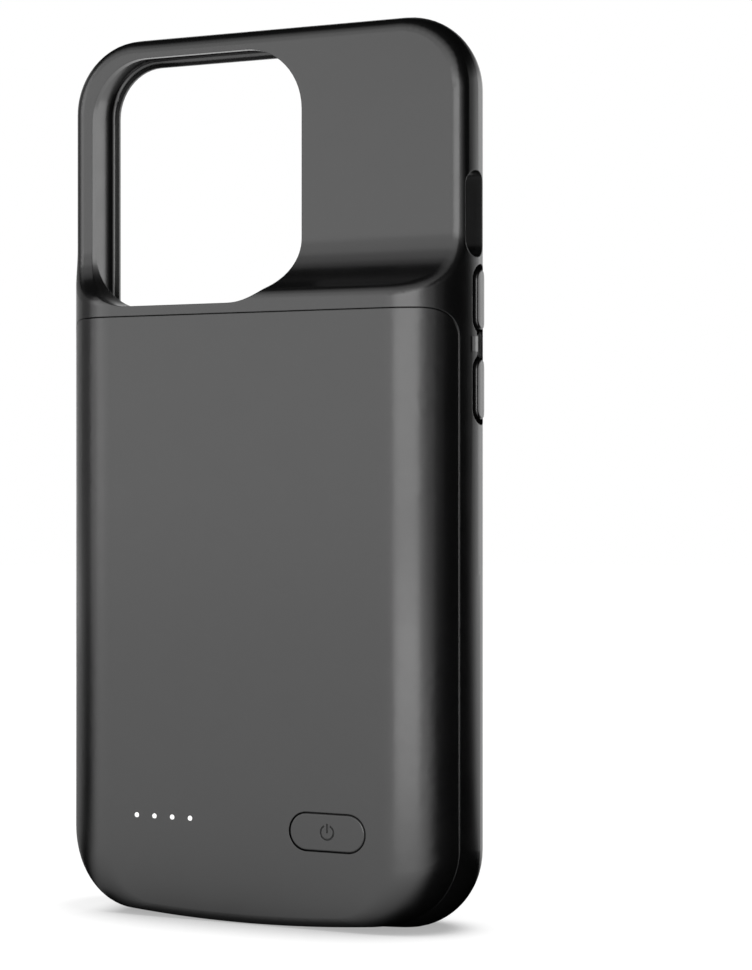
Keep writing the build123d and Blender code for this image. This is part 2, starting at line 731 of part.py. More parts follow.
def board_pieces():
    """Control board with its screws, switch, lights, inductor, chip and capacitors."""
    height = BOARD_HIGH - BOARD_LOW
    middle = (BOARD_HIGH + BOARD_LOW) / 2
    sketch = RectangleRounded(BOARD_WIDTH, height, BOARD_CORNER)
    board = back_prism(sketch, 0, middle, BOARD_BACK, SEAM_DEPTH)
    screws = []
    for x, z in screw_places():
        board -= back_prism(Circle(SCREW_SHANK / 2 + SCREW_PLAY), x, z, 0, DEPTH)
        head = back_prism(Circle(SCREW_HEAD / 2), x, z, BOARD_BACK - SCREW_HEAD_HEIGHT, BOARD_BACK)
        slot = box(x - 0.8, x + 0.8, 0, BOARD_BACK - SCREW_HEAD_HEIGHT / 2, z - 0.15, z + 0.15)
        slot += box(x - 0.15, x + 0.15, 0, BOARD_BACK - SCREW_HEAD_HEIGHT / 2, z - 0.8, z + 0.8)
        shank = back_prism(Circle(SCREW_SHANK / 2), x, z, BOARD_BACK, SEAM_DEPTH + SCREW_LENGTH)
        screws.append(head - slot + shank)
    size = SWITCH_SIZE / 2
    top = BOARD_BACK - SWITCH_HEIGHT
    switch = box(
        BUTTON_X - size, BUTTON_X + size, top, BOARD_BACK, BUTTON_Z - size, BUTTON_Z + size
    )
    switch += back_prism(Circle(PLUNGER / 2), BUTTON_X, BUTTON_Z, top - PLUNGER_HEIGHT, top)
    lights = [
        box(x - 0.8, x + 0.8, BOARD_BACK - CHIP_HEIGHT, BOARD_BACK, LIGHT_Z - 0.5, LIGHT_Z + 0.5)
        for x in light_places()
    ]
    coil = back_prism(
        RectangleRounded(INDUCTOR, INDUCTOR, 1.0),
        INDUCTOR_X,
        INDUCTOR_Z,
        BOARD_BACK - INDUCTOR_HEIGHT,
        BOARD_BACK,
    )
    coil = chamfer(coil.faces().sort_by(Axis.Y)[0].edges(), 0.3)
    half = CHARGE_CHIP / 2
    chip = box(
        -half, half, BOARD_BACK - CHARGE_CHIP_HEIGHT, BOARD_BACK, middle - half, middle + half
    )
    capacitors = []
    for count in range(CAPACITORS):
        x = (count - (CAPACITORS - 1) / 2) * CAPACITOR_PITCH + TAB_X
        capacitors.append(
            box(x - 0.8, x + 0.8, BOARD_BACK - 0.8, BOARD_BACK, CAPACITOR_Z - 0.4, CAPACITOR_Z + 0.4)
        )
    return {
        "control_board": board,
        "board_screws": Compound(children=screws),
        "power_switch": switch,
        "status_leds": Compound(children=lights),
        "power_inductor": coil,
        "charge_chip": chip,
        "filter_capacitors": Compound(children=capacitors),
    }


def socket_pieces():
    """Charging socket in the foot of the cover and the plug that stands in the pocket."""
    high = PORT_LOW + PORT_LENGTH
    shell = up_prism(pill(PORT_WIDTH, PORT_HEIGHT), 0, PORT_DEPTH, PORT_LOW, high)
    inside = pill(PORT_WIDTH - 2 * PORT_WALL, PORT_HEIGHT - 2 * PORT_WALL)
    shell -= up_prism(inside, 0, PORT_DEPTH, PORT_LOW - 1, high - PORT_WALL)
    tongue = up_prism(
        Rectangle(TONGUE_WIDTH, TONGUE_HEIGHT),
        0,
        PORT_DEPTH,
        PORT_LOW + TONGUE_SHORTER,
        high - PORT_WALL,
    )
    base_low = POCKET_LOW - PLUG_BASE_HEIGHT
    base = up_prism(
        Rectangle(PLUG_BASE_WIDTH, PLUG_BASE_DEPTH), 0, MID_DEPTH, base_low, POCKET_LOW
    )
    plug_top = POCKET_LOW + PLUG_LENGTH
    plug = up_prism(pill(PLUG_WIDTH, PLUG_THICKNESS), 0, MID_DEPTH, POCKET_LOW, plug_top)
    plug = fillet(plug.faces().sort_by(Axis.Z)[-1].edges(), PLUG_THICKNESS * 0.3)
    contacts = []
    for sign in (-1, 1):
        face = MID_DEPTH + sign * PLUG_THICKNESS / 2
        depths = sorted((face, face + sign * CONTACT_PROUD))
        for count in range(CONTACTS):
            x = (count - (CONTACTS - 1) / 2) * CONTACT_PITCH
            contacts.append(
                box(
                    x - CONTACT_WIDTH / 2,
                    x + CONTACT_WIDTH / 2,
                    depths[0],
                    depths[1],
                    plug_top - CONTACT_LENGTH - 1.2,
                    plug_top - 1.2,
                )
            )
    flex_z = BOARD_LOW + 0.2
    flex = box(
        -FLEX_WIDTH / 2,
        FLEX_WIDTH / 2,
        SEAM_DEPTH,
        MID_DEPTH - PLUG_BASE_DEPTH / 2,
        flex_z,
        flex_z + FLEX,
    )
    return {
        "charge_port": shell,
        "port_tongue": tongue,
        "plug_base": base,
        "phone_plug": plug,
        "plug_contacts": Compound(children=contacts),
        "plug_flex": flex,
    }


def main():
    """Build every piece and write one file for each."""
    nodes = {
        "case_frame": case_frame(),
        "battery_cover": battery_cover(),
        "power_button": power_button(),
        "light_guide": light_guide(),
        "volume_up_key": side_key(1, VOLUME_KEY, VOLUME_UP_Z),
        "volume_down_key": side_key(1, VOLUME_KEY, VOLUME_DOWN_Z),
        "side_key": side_key(-1, SIDE_KEY, SIDE_KEY_Z),
    }
    nodes.update(cell_pieces())
    nodes.update(board_pieces())
    nodes.update(socket_pieces())
    os.makedirs("parts", exist_ok=True)
    for name, shape in nodes.items():
        export_step(shape, os.path.join("parts", name + ".step"))


main()
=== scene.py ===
"""Looks, light and camera for a phone case with a battery in its back."""

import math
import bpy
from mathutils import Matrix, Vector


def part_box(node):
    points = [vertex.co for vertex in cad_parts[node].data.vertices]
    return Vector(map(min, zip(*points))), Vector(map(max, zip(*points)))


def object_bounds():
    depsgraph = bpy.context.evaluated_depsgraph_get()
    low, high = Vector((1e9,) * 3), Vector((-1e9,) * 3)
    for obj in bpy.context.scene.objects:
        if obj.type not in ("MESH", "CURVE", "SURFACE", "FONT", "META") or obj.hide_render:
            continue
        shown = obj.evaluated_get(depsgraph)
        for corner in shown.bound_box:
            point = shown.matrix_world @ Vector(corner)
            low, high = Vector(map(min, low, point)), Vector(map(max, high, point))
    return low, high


bl_info = {
    "name": "Battery Charging Case",
    "version": (1, 0, 0),
    "blender": (4, 5, 0),
    "location": "3D View > Sidebar > Charging Case",
    "description": "Finishes the pieces of a battery charging case and sets its studio",
    "category": "Object",
}

import bmesh
import bpy
from bpy.props import FloatProperty, FloatVectorProperty, PointerProperty
from mathutils import Vector

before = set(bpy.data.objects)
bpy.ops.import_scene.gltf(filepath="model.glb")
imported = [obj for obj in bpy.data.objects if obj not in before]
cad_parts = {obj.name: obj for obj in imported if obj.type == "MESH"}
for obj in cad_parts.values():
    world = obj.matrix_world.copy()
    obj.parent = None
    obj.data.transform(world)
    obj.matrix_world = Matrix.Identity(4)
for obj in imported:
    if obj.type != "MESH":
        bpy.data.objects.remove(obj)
CAD_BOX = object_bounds()
MILLIMETRE = 0.001

# Depths behind the button's face between which its sunk sign turns dull
SIGN_RIM = 0.04 * MILLIMETRE
SIGN_FLOOR = 0.09 * MILLIMETRE

# Depth of the grain of small moulded pieces against its size
GRAIN_RELIEF = 0.05

# Copper lines under the boards' lacquer
LINE_PITCH = 4 * MILLIMETRE
LINE_SHARE = 0.06
LINE_LIFT = 1.8
LINE_DEPTH = 0.02 * MILLIMETRE

SOFT_BOXES = (
    # name, heading, lift, spread across and spread up in degrees, radiance against the key
    ("key_box", -33, 6, 50, 24, 1.0),
    ("strip_box", 12, 6, 40, 24, 1.85),
    ("fade_box", 37, 6, 10, 24, 0.7),
    ("dusk_box", 49, 6, 14, 24, 0.35),
    ("dim_box", 63, 6, 14, 24, 0.09),
    ("band_box", -51, 6, 16, 24, 0.22),
    ("side_box", -65, 12, 14, 36, 0.72),
    ("left_box", -86, 12, 28, 36, 0.14),
    ("edge_box", -112, 12, 24, 36, 0.3),
    ("rim_box", 150, 8, 20, 28, 0.5),
    ("upper_box", -15, 30, 90, 24, 0.74),
    ("high_box", -15, 50, 90, 16, 0.42),
    ("crown_box", -15, 63, 90, 10, 0.22),
)
# Small lamp near the rounded edge on the key side, in the same terms, and the point it faces
LOW_BOX = ("low_box", 12, 0, 40, 20, 0.72)
LOW_DISTANCE = 0.15
LOW_TARGET = (0.03, -0.004, 0.025)

# The floor's glow on these sides, seen only by mirrored rays, is a painted reflection in the case
# Sides from which the floor and the background are mirrored: heading in degrees, and the
# cosines at which a side starts and is full
LAMP_SIDE = (-6, 0.40, 0.69)
STRIP_SIDE = (60, 0.25, 0.7)
WALL_SIDE = (180, 0.42, 0.84)
LEFT_SIDE = (-115, 0.80, 1.0)
# Strength of the lamps' side away from the strip, and of the left side at its fullest
OFF_STRIP = 0.88
LEFT_STRENGTH = 0.35
# Point on the floor from which the sides are told apart
SIDES_FROM = (0.0, 0.015, 0.0)
# Share of the lamps' distance at which the mirrored floor begins to end
LAMP_MARGIN = 0.8
# Strength of the mirrored floor right at the case, darkened there as painted shade
CONTACT_STRENGTH = 0.1

# Painted shadow lifted under the left corner of the case: white kept there, and how far left it
# starts and is full
CORNER_WHITE = 0.82
CORNER_START = 0.018
CORNER_STOP = 0.034
# Openness of the floor at which the painted shadow is darkest and at which it ends
SHADOW_START = 0.35
SHADOW_STOP = 0.85
# Upward slope of a mirrored ray at which the background starts to dim and is dark
SKY_START = 0.2
SKY_STOP = 0.5


def colour_prop(name, description, default):
    """Colour that a user may change."""
    return FloatVectorProperty(
        name=name,
        description=description,
        default=default,
        size=3,
        min=0.0,
        max=1.0,
        subtype="COLOR",
    )


def length_prop(name, description, default):
    """Length in metres that a user may change."""
    return FloatProperty(
        name=name, description=description, default=default, min=0.0, unit="LENGTH", precision=5
    )


def share_prop(name, description, default):
    """Share from nothing to all that a user may change."""
    return FloatProperty(
        name=name, description=description, default=default, min=0.0, max=1.0, subtype="FACTOR"
    )


def angle_prop(name, description, degrees):
    """Angle that a user may change."""
    return FloatProperty(
        name=name, description=description, default=math.radians(degrees), subtype="ANGLE"
    )


def strength_prop(name, description, default):
    """Strength of a light or a glow that a user may change."""
    return FloatProperty(name=name, description=description, default=default, min=0.0)


class ShellFinish(bpy.types.PropertyGroup):
    """Moulded shells, keys and button."""

    colour: colour_prop("Colour", "Charcoal of the moulded plastic", (0.009, 0.0091, 0.0093))
    roughness: share_prop("Roughness", "How dull the satin of the plastic is", 0.23)
    sunk_roughness: share_prop("Sunk roughness", "How dull the button's sunk sign is", 0.9)
    sheen: share_prop("Sheen", "Strength of the plastic's reflection", 1.0)
    density: FloatProperty(
        name="Optical density", description="Refractive index of the plastic", default=1.6, min=1.0
    )
    edge: length_prop("Edge", "Radius of the broken edges", 0.2 * MILLIMETRE)
    grain: length_prop("Grain", "Size of the fine moulded grain", 0.22 * MILLIMETRE)
    grain_depth: length_prop("Grain depth", "Depth of the fine grain", 0.004 * MILLIMETRE)


class LightFinish(bpy.types.PropertyGroup):
    """Status lights and the clear bar over them."""

    guide_colour: colour_prop("Guide", "Milky plastic of the light guide", (0.86, 0.87, 0.88))
    glow: colour_prop("Glow", "Colour of the lit dots", (1.0, 0.99, 0.97))
    glow_strength: strength_prop("Glow strength", "How bright the dots are", 0.75)
    chip: colour_prop("Chip", "Body of the light chips", (0.9, 0.9, 0.84))


class InsideFinish(bpy.types.PropertyGroup):
    """Cell, boards and the parts on them."""

    foil: colour_prop("Foil", "Pouch of the cell", (0.62, 0.63, 0.65))
    foam: colour_prop("Foam", "Soft pad over the cell", (0.05, 0.05, 0.052))
    tape: colour_prop("Tape", "Double-sided tape under the cell", (0.72, 0.71, 0.68))
    mask: colour_prop("Solder mask", "Lacquer of the boards", (0.02, 0.11, 0.055))
    tin: colour_prop("Tin", "Tinned strips", (0.64, 0.64, 0.62))
    sleeve: colour_prop("Sleeve", "Skin of the leads", (0.35, 0.03, 0.025))
    ferrite: colour_prop("Ferrite", "Pressed body of the inductor", (0.12, 0.12, 0.125))
    chip: colour_prop("Chip", "Moulded body of the chip", (0.02, 0.02, 0.021))
    ceramic: colour_prop("Ceramic", "Fired body of the capacitors", (0.52, 0.4, 0.27))
    steel: colour_prop("Steel", "Drawn steel of the socket and the plug", (0.58, 0.58, 0.59))
    gold: colour_prop("Gold", "Plated contact strips", (0.83, 0.63, 0.25))
    insulator: colour_prop("Insulator", "Black plastic of plug and tongue", (0.025, 0.025, 0.026))
    film: colour_prop("Film", "Amber film of the flex", (0.4, 0.2, 0.05))


class StudioSettings(bpy.types.PropertyGroup):
    """Camera, floor, lamps and background."""

    heading: angle_prop("Heading", "Camera's turn from the flat back to the key side", 25.643)
    camera_side: length_prop("Camera side", "Camera's place along X", 0.2074)
    camera_back: length_prop("Camera back", "Camera's place behind the case", 0.388)
    camera_height: length_prop("Camera height", "Camera's place above the floor", 0.07491)
    focal: FloatProperty(
        name="Focal length", description="Focal length in picture widths", default=3.3523
    )
    rise: FloatProperty(
        name="Rise", description="Upward shift of the picture in picture widths", default=0.0024
    )
    key: strength_prop("Key", "Radiance of the wide soft box", 1.09)
    room: strength_prop("Room", "Light of the dim room", 0.004)
    lamp_distance: length_prop("Lamp distance", "How far the soft boxes stand", 0.9)
    floor_radius: length_prop("Floor radius", "Size of the floor disc", 2.0)
    floor_colour: colour_prop("Floor", "Colour of the floor", (0.35, 0.35, 0.35))
    floor_fade: length_prop("Floor fade", "Where the mirrored floor is half as bright", 0.015)
    contact: length_prop("Contact", "How far the darkest part of the mirrored floor runs", 0.008)
    footprint: FloatVectorProperty(
        name="Footprint",
        description="Half lengths of the part of the floor that the case covers",
        default=(0.03, 0.006, 0.0),
        subtype="XYZ_LENGTH",
        precision=4,
    )
    shadow: share_prop("Shadow", "White that is left where the case meets the floor", 0.38)
    shadow_reach: length_prop("Shadow reach", "How far the contact shadow runs", 0.03)


class CaseSettings(bpy.types.PropertyGroup):
    """All settings of the charging case."""

    shell: PointerProperty(type=ShellFinish)
    light: PointerProperty(type=LightFinish)
    inside: PointerProperty(type=InsideFinish)
    studio: PointerProperty(type=StudioSettings)


def settings():
    """Settings kept with the scene."""
    return bpy.context.scene.charging_case


def new_material(name):
    """Empty node material with one shader, as (material, tree, shader)."""
    material = bpy.data.materials.new(name)
    material.use_nodes = True
    tree = material.node_tree
    tree.nodes.clear()
    shader = tree.nodes.new("ShaderNodeBsdfPrincipled")
    output = tree.nodes.new("ShaderNodeOutputMaterial")
    tree.links.new(shader.outputs["BSDF"], output.inputs["Surface"])
    return material, tree, shader


def place(tree):
    """Point on the piece, in its own metres."""
    return tree.nodes.new("ShaderNodeTexCoord").outputs["Object"]


def maths(tree, operation, first, second=None):
    """One step of arithmetic; numbers and sockets may be mixed."""
    node = tree.nodes.new("ShaderNodeMath")
    node.operation = operation
    for socket, value in zip(node.inputs, (first, second)):
        if value is None:
            continue
        if isinstance(value, (int, float)):
            socket.default_value = value
        else:
            tree.links.new(value, socket)
    return node.outputs[0]


def product(tree, first, *others):
    """All the values multiplied."""
    for other in others:
        first = maths(tree, "MULTIPLY", first, other)
    return first


def vector_maths(tree, operation, first, second=None, output="Vector"):
    """One step of vector arithmetic on a socket, with a fixed second vector."""
    node = tree.nodes.new("ShaderNodeVectorMath")
    node.operation = operation
    tree.links.new(first, node.inputs[0])
    if second is not None:
        node.inputs[1].default_value = second
    return node.outputs[output]


def along(tree, vector, direction):
    """How far a vector points in a direction."""
    return vector_maths(tree, "DOT_PRODUCT", vector, direction, output="Value")


def length_of(tree, vector):
    """Length of a vector."""
    return vector_maths(tree, "LENGTH", vector, output="Value")


def cloud(tree, point, size, detail=2.0):
    """Soft noise with spots of about a size in metres."""
    node = tree.nodes.new("ShaderNodeTexNoise")
    node.inputs["Scale"].default_value = 1.0 / size
    node.inputs["Detail"].default_value = detail
    tree.links.new(point, node.inputs["Vector"])
    return node.outputs["Fac"]


def ranged(tree, value, low, high, start=0.3, stop=0.7):
    """Number that eases from low to high while a value goes from start to stop."""
    node = tree.nodes.new("ShaderNodeMapRange")
    node.interpolation_type = "SMOOTHSTEP"
    node.inputs["From Min"].default_value = start
    node.inputs["From Max"].default_value = stop
    node.inputs["To Min"].default_value = low
    node.inputs["To Max"].default_value = high
    tree.links.new(value, node.inputs["Value"])
    return node.outputs["Result"]


def blend(tree, share, first, second):
    """Colour between two fixed ones, by a share."""
    node = tree.nodes.new("ShaderNodeMix")
    node.data_type = "RGBA"
    tree.links.new(share, node.inputs["Factor"])
    node.inputs[6].default_value = (*first, 1.0)
    node.inputs[7].default_value = (*second, 1.0)
    return node.outputs[2]


def shade(colour, factor):
    """Colour made lighter or darker."""
    return tuple(min(part * factor, 1.0) for part in colour)


def add_bump(tree, shader, height, depth):
    """Relief on the shader from a height of 0 to 1 and its depth in metres, over any before it."""
    node = tree.nodes.new("ShaderNodeBump")
    node.inputs["Strength"].default_value = 1.0
    node.inputs["Distance"].default_value = depth
    tree.links.new(height, node.inputs["Height"])
    for link in shader.inputs["Normal"].links:
        tree.links.new(link.from_socket, node.inputs["Normal"])
    tree.links.new(node.outputs["Normal"], shader.inputs["Normal"])


def mottled(tree, shader, point, colour, spread, size):
    """Base colour that varies a little over a size."""
    spots = cloud(tree, point, size)
    tint = blend(tree, spots, shade(colour, 1 - spread), shade(colour, 1 + spread))
    tree.links.new(tint, shader.inputs["Base Color"])


def uneven_gloss(tree, shader, point, roughness, spread, size):
    """Roughness that varies a little over a size."""
    value = ranged(tree, cloud(tree, point, size), roughness - spread, roughness + spread)
    tree.links.new(value, shader.inputs["Roughness"])


def sunk_gloss(tree, shader, point, finish, face):
    """Satin that turns dull behind the face of a piece, given by its Y."""
    split = tree.nodes.new("ShaderNodeSeparateXYZ")
    tree.links.new(point, split.inputs[0])
    depth = split.outputs["Y"]
    low, high = finish.roughness, finish.sunk_roughness
    value = ranged(tree, depth, low, high, face + SIGN_RIM, face + SIGN_FLOOR)
    tree.links.new(value, shader.inputs["Roughness"])


def satin_plastic(name, finish, sunk_face=None):
    """Charcoal moulded plastic with broken edges and a fine grain, dull behind a sunk face."""
    material, tree, shader = new_material(name)
    shader.inputs["Specular IOR Level"].default_value = finish.sheen
    shader.inputs["IOR"].default_value = finish.density
    point = place(tree)
    mottled(tree, shader, point, finish.colour, spread=0.06, size=9 * MILLIMETRE)
    if sunk_face is None:
        uneven_gloss(tree, shader, point, finish.roughness, spread=0.015, size=5 * MILLIMETRE)
    else:
        sunk_gloss(tree, shader, point, finish, sunk_face)
    broken_edge = tree.nodes.new("ShaderNodeBevel")
    broken_edge.samples = 4
    broken_edge.inputs["Radius"].default_value = finish.edge
    tree.links.new(broken_edge.outputs["Normal"], shader.inputs["Normal"])
    grain = cloud(tree, point, finish.grain, detail=3.0)
    add_bump(tree, shader, grain, finish.grain_depth)
    return material


def plain_plastic(name, colour, roughness, grain):
    """Small moulded piece with a grain of a size in millimetres."""
    material, tree, shader = new_material(name)
    point = place(tree)
    size = grain * MILLIMETRE
    mottled(tree, shader, point, colour, spread=0.1, size=2 * MILLIMETRE)
    uneven_gloss(tree, shader, point, roughness, spread=0.05, size=1 * MILLIMETRE)
    add_bump(tree, shader, cloud(tree, point, size), depth=size * GRAIN_RELIEF)
    return material


def metal(name, colour, roughness, streak):
    """Rolled or drawn metal with fine streaks, drawn out by a factor along each axis."""
    material, tree, shader = new_material(name)
    shader.inputs["Metallic"].default_value = 1.0
    point = vector_maths(tree, "MULTIPLY", place(tree), streak)
    mottled(tree, shader, point, colour, spread=0.08, size=0.8 * MILLIMETRE)
    uneven_gloss(tree, shader, point, roughness, spread=0.08, size=0.5 * MILLIMETRE)
    add_bump(tree, shader, cloud(tree, point, 0.3 * MILLIMETRE), depth=0.004 * MILLIMETRE)
    return material


def board_lacquer(name, colour):
    """Solder mask with the copper lines showing through as a faint relief."""
    material, tree, shader = new_material(name)
    point = place(tree)
    lines = tree.nodes.new("ShaderNodeTexBrick")
    lines.inputs["Scale"].default_value = 1.0 / LINE_PITCH
    lines.inputs["Mortar Size"].default_value = LINE_SHARE
    turned = tree.nodes.new("ShaderNodeMapping")
    turned.inputs["Rotation"].default_value = (math.radians(90), 0, 0)
    tree.links.new(point, turned.inputs["Vector"])
    tree.links.new(turned.outputs["Vector"], lines.inputs["Vector"])
    tint = blend(tree, lines.outputs["Fac"], colour, shade(colour, LINE_LIFT))
    tree.links.new(tint, shader.inputs["Base Color"])
    uneven_gloss(tree, shader, point, roughness=0.28, spread=0.05, size=3 * MILLIMETRE)
    add_bump(tree, shader, lines.outputs["Fac"], depth=LINE_DEPTH)
    return material


def milky_guide(name, finish):
    """Milky plastic that glows with the lights behind it."""
    material, tree, shader = new_material(name)
    point = place(tree)
    mottled(tree, shader, point, finish.guide_colour, spread=0.03, size=1.5 * MILLIMETRE)
    uneven_gloss(tree, shader, point, roughness=0.3, spread=0.04, size=0.5 * MILLIMETRE)
    add_bump(tree, shader, cloud(tree, point, 0.2 * MILLIMETRE), depth=0.003 * MILLIMETRE)
    shader.inputs["Emission Color"].default_value = (*finish.glow, 1.0)
    shader.inputs["Emission Strength"].default_value = finish.glow_strength
    return material


def pouch_foil(name, colour):
    """Soft foil of a pouch, slightly creased."""
    material, tree, shader = new_material(name)
    shader.inputs["Metallic"].default_value = 0.9
    point = place(tree)
    mottled(tree, shader, point, colour, spread=0.06, size=8 * MILLIMETRE)
    uneven_gloss(tree, shader, point, roughness=0.38, spread=0.08, size=4 * MILLIMETRE)
    creases = cloud(tree, point, 3 * MILLIMETRE, detail=4.0)
    add_bump(tree, shader, creases, depth=0.12 * MILLIMETRE)
    return material


def give(material, *nodes):
    """Puts a material on carried-over pieces, all over."""
    for name in nodes:
        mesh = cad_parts[name].data
        mesh.materials.clear()
        mesh.materials.append(material)


class CHARGINGCASE_OT_shells(bpy.types.Operator):
    """Finish the frame and the battery cover"""

    bl_idname = "charging_case.shells"
    bl_label = "Moulded Shells"

    def execute(self, context):
        finish = settings().shell
        give(satin_plastic("cover_plastic", finish), "battery_cover")
        give(satin_plastic("frame_plastic", finish), "case_frame")
        return {"FINISHED"}


class CHARGINGCASE_OT_keys(bpy.types.Operator):
    """Finish the volume keys and the side key"""

    bl_idname = "charging_case.keys"
    bl_label = "Side Keys"

    def execute(self, context):
        plastic = satin_plastic("key_plastic", settings().shell)
        give(plastic, "volume_up_key", "volume_down_key", "side_key")
        return {"FINISHED"}


class CHARGINGCASE_OT_button(bpy.types.Operator):
    """Finish the power button"""

    bl_idname = "charging_case.button"
    bl_label = "Power Button"

    def execute(self, context):
        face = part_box("power_button")[0][1]
        give(satin_plastic("button_plastic", settings().shell, sunk_face=face), "power_button")
        return {"FINISHED"}


class CHARGINGCASE_OT_lights(bpy.types.Operator):
    """Finish the light guide, whose pips show as lit dots, and the chips behind it"""

    bl_idname = "charging_case.lights"
    bl_label = "Status Lights"

    def execute(self, context):
        finish = settings().light
        give(milky_guide("milky_guide", finish), "light_guide")
        give(plain_plastic("light_chip", finish.chip, roughness=0.35, grain=0.2), "status_leds")
        return {"FINISHED"}


class CHARGINGCASE_OT_cell(bpy.types.Operator):
    """Finish the pouch cell with its foam, tape, tabs and leads"""

    bl_idname = "charging_case.cell"
    bl_label = "Cell"

    def execute(self, context):
        finish = settings().inside
        give(pouch_foil("pouch_foil", finish.foil), "battery_cell")
        give(plain_plastic("soft_foam", finish.foam, roughness=0.9, grain=0.5), "cell_foam")
        give(plain_plastic("white_tape", finish.tape, roughness=0.7, grain=0.4), "cell_tape")
        give(metal("tinned_strip", finish.tin, roughness=0.32, streak=(0.2, 1, 1)), "cell_tabs")
        give(plain_plastic("wire_sleeve", finish.sleeve, roughness=0.45, grain=0.3), "lead_wires")
        return {"FINISHED"}


class CHARGINGCASE_OT_board(bpy.types.Operator):
    """Finish the boards and what is soldered or screwed to them"""

    bl_idname = "charging_case.board"
    bl_label = "Boards"

    def execute(self, context):
        finish = settings().inside
        give(board_lacquer("green_lacquer", finish.mask), "control_board", "cell_board")
        give(metal("zinc_screw", finish.steel, roughness=0.3, streak=(1, 1, 1)), "board_screws")
        give(metal("switch_can", finish.tin, roughness=0.35, streak=(0.15, 1, 1)), "power_switch")
        give(plain_plastic("ferrite", finish.ferrite, roughness=0.6, grain=0.3), "power_inductor")
        give(plain_plastic("chip_body", finish.chip, roughness=0.5, grain=0.25), "charge_chip")
        ceramic = plain_plastic("ceramic", finish.ceramic, roughness=0.4, grain=0.2)
        give(ceramic, "filter_capacitors")
        return {"FINISHED"}


class CHARGINGCASE_OT_sockets(bpy.types.Operator):
    """Finish the charging socket and the plug for the phone"""

    bl_idname = "charging_case.sockets"
    bl_label = "Socket and Plug"

    def execute(self, context):
        finish = settings().inside
        steel = metal("drawn_steel", finish.steel, roughness=0.28, streak=(1, 1, 0.15))
        give(steel, "charge_port", "phone_plug")
        give(metal("gold_plate", finish.gold, roughness=0.22, streak=(1, 1, 0.2)), "plug_contacts")
        insulator = plain_plastic("insulator", finish.insulator, roughness=0.5, grain=0.2)
        give(insulator, "plug_base", "port_tongue")
        give(plain_plastic("amber_film", finish.film, roughness=0.3, grain=0.3), "plug_flex")
        return {"FINISHED"}


def front_direction(heading, lift=0.0):
    """Direction from the case, turned from its flat back and lifted."""
    return Vector(
        (
            math.sin(heading) * math.cos(lift),
            -math.cos(heading) * math.cos(lift),
            math.sin(lift),
        )
    )


def soft_box(row, key, distance, target):
    """Area lamp from a row of SOFT_BOXES, at a distance from the point it faces."""
    name, heading, lift, across, up, share = row
    lamp = bpy.data.lights.new(name, "AREA")
    lamp.shape = "RECTANGLE"
    lamp.size = 2 * distance * math.tan(math.radians(across) / 2)
    lamp.size_y = 2 * distance * math.tan(math.radians(up) / 2)
    lamp.energy = key * share * math.pi * lamp.size * lamp.size_y
    lamp_object = bpy.data.objects.new(name, lamp)
    outward = front_direction(math.radians(heading), math.radians(lift))
    lamp_object.location = Vector(target) + outward * distance
    lamp_object.rotation_euler = outward.to_track_quat("Z", "Y").to_euler()
    lamp_object.visible_camera = False
    bpy.context.scene.collection.objects.link(lamp_object)


def make_lamps(studio):
    """Soft boxes round the case and the small one near its rounded edge."""
    middle = (Vector(CAD_BOX[0]) + Vector(CAD_BOX[1])) / 2
    for row in SOFT_BOXES:
        soft_box(row, studio.key, studio.lamp_distance, middle)
    soft_box(LOW_BOX, studio.key, LOW_DISTANCE, LOW_TARGET)


def seen_rays(tree):
    """Shares that are 1 for rays from the camera and for mirrored or passing rays."""
    path = tree.nodes.new("ShaderNodeLightPath")
    mirrored = maths(
        tree, "MAXIMUM", path.outputs["Is Glossy Ray"], path.outputs["Is Transmission Ray"]
    )
    return path.outputs["Is Camera Ray"], mirrored


def towards(tree, vector, side, low=0.0, high=1.0):
    """Strength of one side, from low to high as a vector turns to it."""
    heading, start, stop = side
    nearness = along(tree, vector, front_direction(math.radians(heading)))
    return ranged(tree, nearness, low, high, start, stop)


def floor_light(tree, studio, point):
    """White that the camera sees, less where the case closes the floor in: a painted contact
    shadow.
    """
    closeness = tree.nodes.new("ShaderNodeAmbientOcclusion")
    closeness.inputs["Distance"].default_value = studio.shadow_reach
    white = ranged(tree, closeness.outputs["AO"], studio.shadow, 1.0, SHADOW_START, SHADOW_STOP)
    # Painted shadow lifted again under the case's left corner
    leftward = along(tree, point, (-1.0, 0.0, 0.0))
    under_corner = ranged(tree, leftward, 0.0, CORNER_WHITE, CORNER_START, CORNER_STOP)
    return maths(tree, "MAXIMUM", white, under_corner)


def mirrored_sides(tree, studio, point):
    """Strength of the mirrored floor on its bright sides, a glow that only mirrored rays see:
    painted reflection.
    """
    outward = vector_maths(tree, "SUBTRACT", point, SIDES_FROM)
    outward = vector_maths(tree, "NORMALIZE", outward)
    reach = studio.lamp_distance
    before_lamps = ranged(tree, length_of(tree, point), 1.0, 0.0, reach * LAMP_MARGIN, reach)
    front = product(
        tree,
        towards(tree, outward, LAMP_SIDE),
        before_lamps,
        towards(tree, outward, STRIP_SIDE, low=OFF_STRIP),
    )
    wall = towards(tree, outward, WALL_SIDE)
    left = towards(tree, outward, LEFT_SIDE, high=LEFT_STRENGTH)
    return maths(tree, "MAXIMUM", front, maths(tree, "MAXIMUM", wall, left))


def mirrored_fade(tree, studio, point):
    """Share of the mirrored floor that is left near the case, where it is darkened as painted
    shade.
    """
    beyond = vector_maths(tree, "ABSOLUTE", point)
    beyond = vector_maths(tree, "SUBTRACT", beyond, studio.footprint)
    beyond = vector_maths(tree, "MAXIMUM", beyond, (0.0, 0.0, 0.0))
    gap = length_of(tree, beyond)
    fade = maths(tree, "DIVIDE", gap, maths(tree, "ADD", gap, studio.floor_fade))
    return product(tree, fade, ranged(tree, gap, CONTACT_STRENGTH, 1.0, 0.0, studio.contact))


